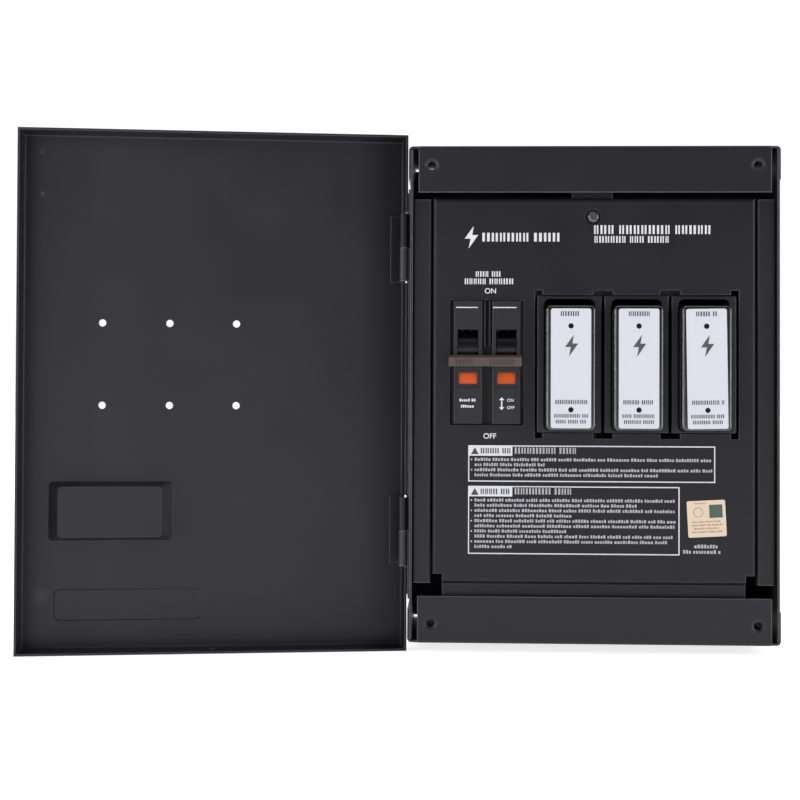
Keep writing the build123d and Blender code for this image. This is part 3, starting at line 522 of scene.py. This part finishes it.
def print_notice(name, right, top, low, ends, seed):
    """An outlined box with a filled heading and lines of small print."""
    face = front_of("deadfront")
    rng = random.Random(seed)
    left, line = NOTICE_LEFT, NOTICE_LINE
    heading_end, heading_low = NOTICE_HEADING_END, top - NOTICE_HEADING_HEIGHT
    ink = (WHITE_INK, "wire_white", "root", face)
    flat_piece(name + "_border", frame_outline(left, right, low, top, line), *ink)
    inner_left, inner_top = left + line, top - line
    heading = rectangle(inner_left, heading_end, heading_low, inner_top)
    flat_piece(name + "_heading", [heading], *ink)
    symbol = [(left + 1.9, heading_low + 1.0), (left + 7.2, heading_low + 1.0), (left + 4.55, top - 1.4)]
    dark = [symbol] + small_print(rng, left + 8.6, heading_low + 1.6, 20.4, 3.8, 0.62, True)
    flat_piece(name + "_heading_print", dark, DARK_INK, "switch_handle", "root", face - INK)
    lines = small_print(rng, heading_end + 1.6, heading_low + 1.5, 42.0, 4.3, 0.72, True)
    z = heading_low
    for end in ends:
        z -= NOTICE_PITCH
        lines += small_print(rng, left + 4.4, z, end - left - 4.4, 2.15, 0.62)
    flat_piece(name + "_lines", lines, PALE_INK, "wire_white", "root", face)
    bullets = [
        disc(left + 2.3, heading_low - 2.6 - NOTICE_PITCH * i, 0.5, 12)
        for i in range(0, len(ends), 2)
    ]
    flat_piece(name + "_bullets", bullets, *ink)


def sticker():
    """Cream sticker with a small dark panel and tan lines, stuck on slightly askew."""
    face = front_of("deadfront")
    rng = random.Random(5)
    tilt = Matrix.Rotation(math.radians(STICKER_TILT), 4, "Z")
    x, z = STICKER_CENTRE

    def on_cover(lift):
        return Matrix.Translation((x * MM, (face - lift) * MM, z * MM)) @ UPRIGHT @ tilt

    sheet = [rounded(0, 0, 26.2, 25.0, 1.2)]
    flat_piece("sticker", sheet, STICKER_FILM, "insulator", "root", 0, FILM, on_cover(0))
    panel = [rectangle(2.0, 11.0, 0.4, 9.4)]
    flat_piece("sticker_panel", panel, GREEN_INK, "board_green", "root", 0, STICKER_INK, on_cover(FILM))
    print_lines = small_print(rng, -8.0, 10.2, 8.0, 0.9)
    print_lines += [disc(-5.6, 4.6, 3.4), disc(-5.6, 4.6, 2.9)]
    for i, width in enumerate((20.0, 21.0, 18.0, 21.0)):
        print_lines += small_print(rng, -width / 2, -2.6 - 2.3 * i, width, 1.2)
    flat_piece("sticker_print", print_lines, TAN_INK, "tie_bar", "root", 0, STICKER_INK, on_cover(FILM))


# ---- printing on the switch ----------------------------------------------
def print_switch():
    rng = random.Random(23)
    face = front_of("breaker_case_left")
    ink = (WHITE_INK, "wire_white", "root", face)
    rules = [rectangle(-95.0, -80.0, 59.2, 59.9), rectangle(-69.6, -53.4, 59.2, 59.9)]
    flat_piece("switch_rules", rules, *ink)
    marks = small_print(rng, -92.4, -5.2, 12.0, 1.9, 0.6)
    marks += small_print(rng, -91.4, -9.4, 9.4, 1.9, 0.6)
    flat_piece("switch_rating", marks, *ink)
    flat_piece("switch_arrow", [double_arrow(-63.4, -6.6, 8.6)], *ink)
    word("switch_on_mark", "ON", -57.4, -4.4, 2.1, face, "root", WHITE_INK)
    word("switch_off_mark", "OFF", -57.2, -9.4, 2.1, face, "root", WHITE_INK)


def print_tie_bar():
    """Dark marks on the sloping front of the tie bar."""
    rng = random.Random(31)
    pivot = next(j for j in frame["joints"] if j["name"] == "handle_pivot")["pos_m"]
    below_level = math.radians(TIE_BAR_SLOPE)
    reach = TIE_BAR_REACH * MM
    place = Matrix.Translation(pivot) @ Matrix.Rotation(below_level, 4, "X")
    place = place @ Matrix.Translation((0.0, -reach, 0.0)) @ UPRIGHT
    marks = small_print(rng, -21.5, -2.0, 15.5, 4.4, 0.8, True)
    marks += small_print(rng, 1.5, -2.0, 20.0, 4.4, 0.8, True)
    flat_piece("tie_bar_print", marks, BROWN_INK, "switch_handle", "switch_handle", 0, TIE_BAR_INK, place)


# ---- module labels ---------------------------------------------------------
def label_module(number, tilt):
    """Silver-white label with two lamp holes, a plain symbol and greeked lines."""
    name = f"module_{number}"
    low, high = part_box(name + "_housing")
    cx, face = (low.x + high.x) / 2 / MM, low.y / MM
    lamp_low, lamp_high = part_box(name + "_leds")
    lamps = (lamp_low.z / MM + LAMP_INSET, lamp_high.z / MM - LAMP_INSET)
    rng = random.Random(40 + number)
    turn = Matrix.Rotation(math.radians(tilt), 4, "Z")

    def on_face(lift):
        return Matrix.Translation((cx * MM, (face - lift) * MM, LABEL_MIDDLE * MM)) @ UPRIGHT @ turn

    holes = [disc(0, z - LABEL_MIDDLE, LAMP_HOLE) for z in lamps]
    sheet = [rounded(0, 0, LABEL_WIDTH, LABEL_HEIGHT, 1.6)] + holes
    flat_piece(name + "_label", sheet, LABEL_FILM, "wire_white", name, 0, FILM, on_face(0))
    dark = small_print(rng, -7.0, 35.6, 14.6, 3.3, 0.72, True)
    dark += small_print(rng, -10.6, -24.4, 21.6, 2.9, 0.72, True)
    dark += small_print(rng, -11.4, -33.6, 23.0, 2.5, 0.72, True)
    dark += small_print(rng, -10.2, -37.6, 20.6, 2.5, 0.72, True)
    ink = ("switch_handle", name, 0, THIN_INK, on_face(FILM))
    flat_piece(name + "_label_print", dark, DARK_INK, *ink)
    flat_piece(name + "_label_mark", [bolt(0.4, 15.4, 15.0)], GREY_INK, *ink)


print_cover()
print_notice("notice_upper", 83.1, -35.4, -60.4, (80.6, -33.0, 81.6, 44.6), 3)
print_notice("notice_lower", 58.8, -63.4, -110.2,
             (55.4, 31.0, 55.6, -14.0, 56.6, 56.6, -16.4, 54.0, 50.6, -55.0), 8)
sticker()
print_switch()
print_tie_bar()
for number, tilt in ((1, 0.0), (2, 0.0), (3, 0.9)):
    label_module(number, tilt)


# ---- floor, lights and camera ----------------------------------------------
def floor():
    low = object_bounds()[0]
    z = low.z - 0.0005
    corners = [(-6.0, -5.0, z), (6.0, -5.0, z), (6.0, 7.0, z), (-6.0, 7.0, z)]
    mesh = bpy.data.meshes.new("floor")
    mesh.from_pydata(corners, [], [(0, 1, 2, 3)])
    piece = bpy.data.objects.new("floor", mesh)
    bpy.context.scene.collection.objects.link(piece)
    g = Graph("pale_floor")
    tone = g.mix(g.noise(3.0, 2.0), (0.88, 0.88, 0.88), (0.92, 0.92, 0.92))
    g.finish(tone, roughness=None, emission_strength=0.75)
    g.shader.inputs["Emission Color"].default_value = (1.0, 1.0, 1.0, 1.0)
    g.shader.inputs["Roughness"].default_value = 0.8
    mesh.materials.append(g.material)
    piece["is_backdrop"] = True


def soft_light(name, place, aim, size, watts):
    light = bpy.data.lights.new(name, "AREA")
    light.shape = "RECTANGLE"
    light.size, light.size_y = size
    light.energy = watts
    light.color = (0.97, 0.96, 1.06)
    lamp = bpy.data.objects.new(name, light)
    lamp.location = place
    lamp.rotation_euler = (Vector(aim) - Vector(place)).to_track_quat("-Z", "Y").to_euler()
    bpy.context.scene.collection.objects.link(lamp)


def surroundings():
    """White room behind the object; in front of it darker, and darkest above."""
    world = bpy.data.worlds.new("studio")
    bpy.context.scene.world = world
    world.use_nodes = True
    tree = world.node_tree

    def ramp(value, low, high, start, end):
        node = tree.nodes.new("ShaderNodeMapRange")
        tree.links.new(value, node.inputs["Value"])
        node.inputs["From Min"].default_value = low
        node.inputs["From Max"].default_value = high
        node.inputs["To Min"].default_value = start
        node.inputs["To Max"].default_value = end
        return node

    coords = tree.nodes.new("ShaderNodeTexCoord")
    split = tree.nodes.new("ShaderNodeSeparateXYZ")
    tree.links.new(coords.outputs["Generated"], split.inputs[0])
    upward = ramp(split.outputs["Z"], -0.12, 0.20, 0.55, 0.0)
    depth = ramp(split.outputs["Y"], -0.85, 0.25, 0.0, 1.06)
    tree.links.new(upward.outputs["Result"], depth.inputs["To Min"])
    tree.links.new(depth.outputs["Result"], tree.nodes["Background"].inputs["Strength"])
    tree.nodes["Background"].inputs["Color"].default_value = (1.0, 1.0, 1.0, 1.0)


def camera():
    data = bpy.data.cameras.new("camera")
    data.lens = LENS
    data.shift_y = LENS_SHIFT
    view = bpy.data.objects.new("camera", data)
    turn = Euler((math.pi / 2 + CAMERA_PITCH, 0.0, -CAMERA_YAW), "XYZ").to_matrix()
    view.location = CAMERA_PLACE
    view.rotation_euler = (turn @ Matrix.Rotation(CAMERA_ROLL, 3, "Z")).to_euler()
    bpy.context.scene.collection.objects.link(view)
    bpy.context.scene.camera = view


floor()
surroundings()
MIDDLE = (-0.13, -0.05, 0.0)
soft_light("key", (-1.0, -1.5, 0.35), MIDDLE, (1.1, 1.1), 7.0)
soft_light("fill", (1.3, -1.2, 0.0), MIDDLE, (0.9, 1.3), 8.0)
soft_light("top", (-0.1, -0.1, 1.9), MIDDLE, (1.8, 1.2), 8.0)
soft_light("left_strip", (-1.5, -0.75, -0.05), MIDDLE, (0.10, 1.6), 13.0)
soft_light("right_strip", (1.3, -0.55, 0.0), MIDDLE, (0.08, 1.4), 6.0)
camera()
bpy.context.scene.view_settings.view_transform = "Standard"
